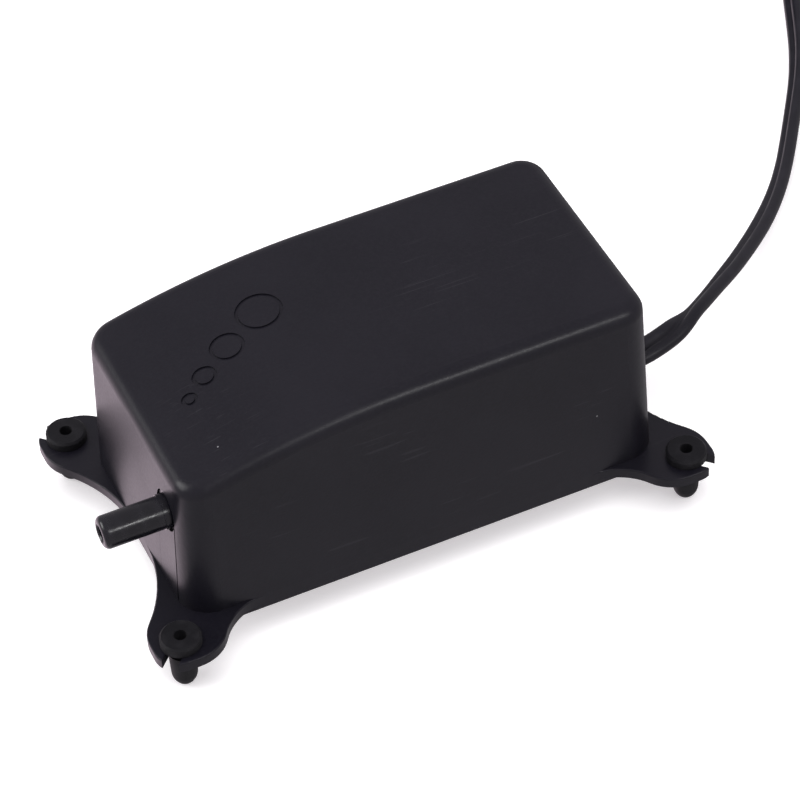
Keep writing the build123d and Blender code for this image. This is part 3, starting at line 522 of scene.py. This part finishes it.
materials = {
    "case_plastic": case_plastic(),
    "nozzle_plastic": nozzle_plastic(),
    "foot_rubber": rubber("foot_rubber", 0.0062),
    "grommet_rubber": rubber("grommet_rubber", 0.007, 0.55),
    "valve_rubber": rubber("valve_rubber", 0.035, 0.5),
    "inner_plastic": clear_nylon("inner_plastic", rgb(0.72, 0.71, 0.66), rgb(0.60, 0.59, 0.54)),
    "bobbin_plastic": clear_nylon("bobbin_plastic", rgb(0.035, 0.035, 0.038), rgb(0.022, 0.022, 0.025), 0.5),
    "zinc_steel": metal("zinc_steel", (0.62, 0.62, 0.60), 0.34, (1, 1, 0.2)),
    "arm_metal": metal("arm_metal", (0.70, 0.71, 0.72), 0.36, (0.08, 1, 1)),
    "pin_steel": metal("pin_steel", (0.74, 0.74, 0.75), 0.16, (1, 1, 0.1), 0.4 * MM),
    "bush_brass": metal("bush_brass", (0.66, 0.48, 0.20), 0.3, (0.2, 0.2, 1), 0.3 * MM, (0.25, 0.16, 0.06)),
    "terminal_brass": metal("terminal_brass", (0.70, 0.67, 0.60), 0.3, (0.2, 1, 1)),
    "core_steel": banded("core_steel", 0.5 * MM, "Z", (0.16, 0.155, 0.15), (0.42, 0.42, 0.42), 0.42,
                         0.06 * MM),
    "magnet_ferrite": ferrite(),
    "winding_copper": banded("winding_copper", 0.22 * MM, "X", (0.30, 0.09, 0.02), (0.74, 0.30, 0.10), 0.25,
                             0.05 * MM),
    "coil_tape": tape(),
    "filter_felt": felt(),
    "cord_pvc": cord_pvc(),
    "wire_pvc": clear_nylon("wire_pvc", rgb(0.32, 0.10, 0.03), rgb(0.22, 0.06, 0.02), 0.3),
    "plug_plastic": cord_pvc("plug_plastic", 0.42),
    "plug_metal": metal("plug_metal", (0.72, 0.70, 0.64), 0.24, (0.08, 1, 1), 0.4 * MM),
}


def dress(piece, material):
    """Gives a whole piece one material."""
    piece.data.materials.clear()
    piece.data.materials.append(material)
    for polygon in piece.data.polygons:
        polygon.material_index = 0


for part in frame["record"]["subparts"]:
    dress(nodes[part["node"]], materials[part["material_slot"]])
dress(cord, materials["cord_pvc"])
dress(tie, materials["cord_pvc"])


# ================================================================ floor and light
def floor():
    """Plain pale ground, far larger than the view."""
    reach = 6.0
    corners = [(-reach, -reach, 0), (reach, -reach, 0), (reach, reach, 0), (-reach, reach, 0)]
    ground = mesh_object("floor", corners, [(0, 1, 2, 3)], smooth=False)
    paint = Paint("floor")
    cloud = paint.noise(0.4, 2.0)
    base = paint.mix(cloud, rgb(0.80, 0.80, 0.80), rgb(0.82, 0.82, 0.82))
    paint.set(base_color=base, roughness=0.8, ior_level=0.1)
    # a little light of its own, like a light table
    paint.shader.inputs["Emission Color"].default_value = rgb(1.0, 0.965, 0.985)
    paint.shader.inputs["Emission Strength"].default_value = 0.45
    dress(ground, paint.material)
    ground.visible_glossy = False       # the glossy black plastic mirrors the studio instead


def softbox(name, place, aim, wide, high, power, mirrored=True):
    """Rectangular area light that looks at a point, and shows in the plastic's gloss if mirrored is set."""
    light = bpy.data.lights.new(name, "AREA")
    light.shape = "RECTANGLE"
    light.size = wide
    light.size_y = high
    light.energy = power
    lamp = bpy.data.objects.new(name, light)
    bpy.context.scene.collection.objects.link(lamp)
    lamp.location = place
    lamp.rotation_mode = "QUATERNION"
    lamp.rotation_quaternion = (Vector(aim) - Vector(place)).to_track_quat("-Z", "Y")
    lamp.visible_glossy = mirrored


def studio():
    """Even grey surroundings, brighter and slightly pink low down on the side behind the outlet."""
    grey = rgb(0.40, 0.38, 0.405)
    pink = rgb(1.36, 1.14, 1.29)
    pink_toward = Vector((-0.45, 0.62, -0.64)).normalized()
    pink_fades = 0.70           # cosine of the angle from pink_toward where the pink has faded out
    pink_whole = 0.99           # and where it is at its full strength
    world = bpy.data.worlds.new("studio")
    world.use_nodes = True
    tree = world.node_tree
    toward = tree.nodes.new("ShaderNodeTexCoord").outputs["Generated"]
    aim = tree.nodes.new("ShaderNodeVectorMath")
    aim.operation = "DOT_PRODUCT"
    aim.inputs[1].default_value = pink_toward
    tree.links.new(toward, aim.inputs[0])
    spread = tree.nodes.new("ShaderNodeMapRange")
    spread.interpolation_type = "SMOOTHSTEP"
    spread.inputs["From Min"].default_value = pink_fades
    spread.inputs["From Max"].default_value = pink_whole
    tree.links.new(aim.outputs["Value"], spread.inputs["Value"])
    blend = tree.nodes.new("ShaderNodeMix")
    blend.data_type = "RGBA"
    tree.links.new(spread.outputs["Result"], blend.inputs["Factor"])
    colours = [socket for socket in blend.inputs if socket.type == "RGBA"]
    colours[0].default_value = grey
    colours[1].default_value = pink
    mixed = [socket for socket in blend.outputs if socket.type == "RGBA"][0]
    tree.links.new(mixed, tree.nodes["Background"].inputs["Color"])
    bpy.context.scene.world = world


floor()
studio()
# name, place, what it looks at, width, height, watts
softbox("overhead", (-0.15, -0.1, 1.5), (0, 0, 0), 1.6, 1.6, 26.0, mirrored=False)
softbox("left_low", (-1.3, 0.5, 0.7), (0, 0, 0.02), 0.9, 0.7, 8.0)
softbox("front", (0.45, -1.2, 1.1), (0, 0, 0.02), 0.8, 0.14, 4.0)
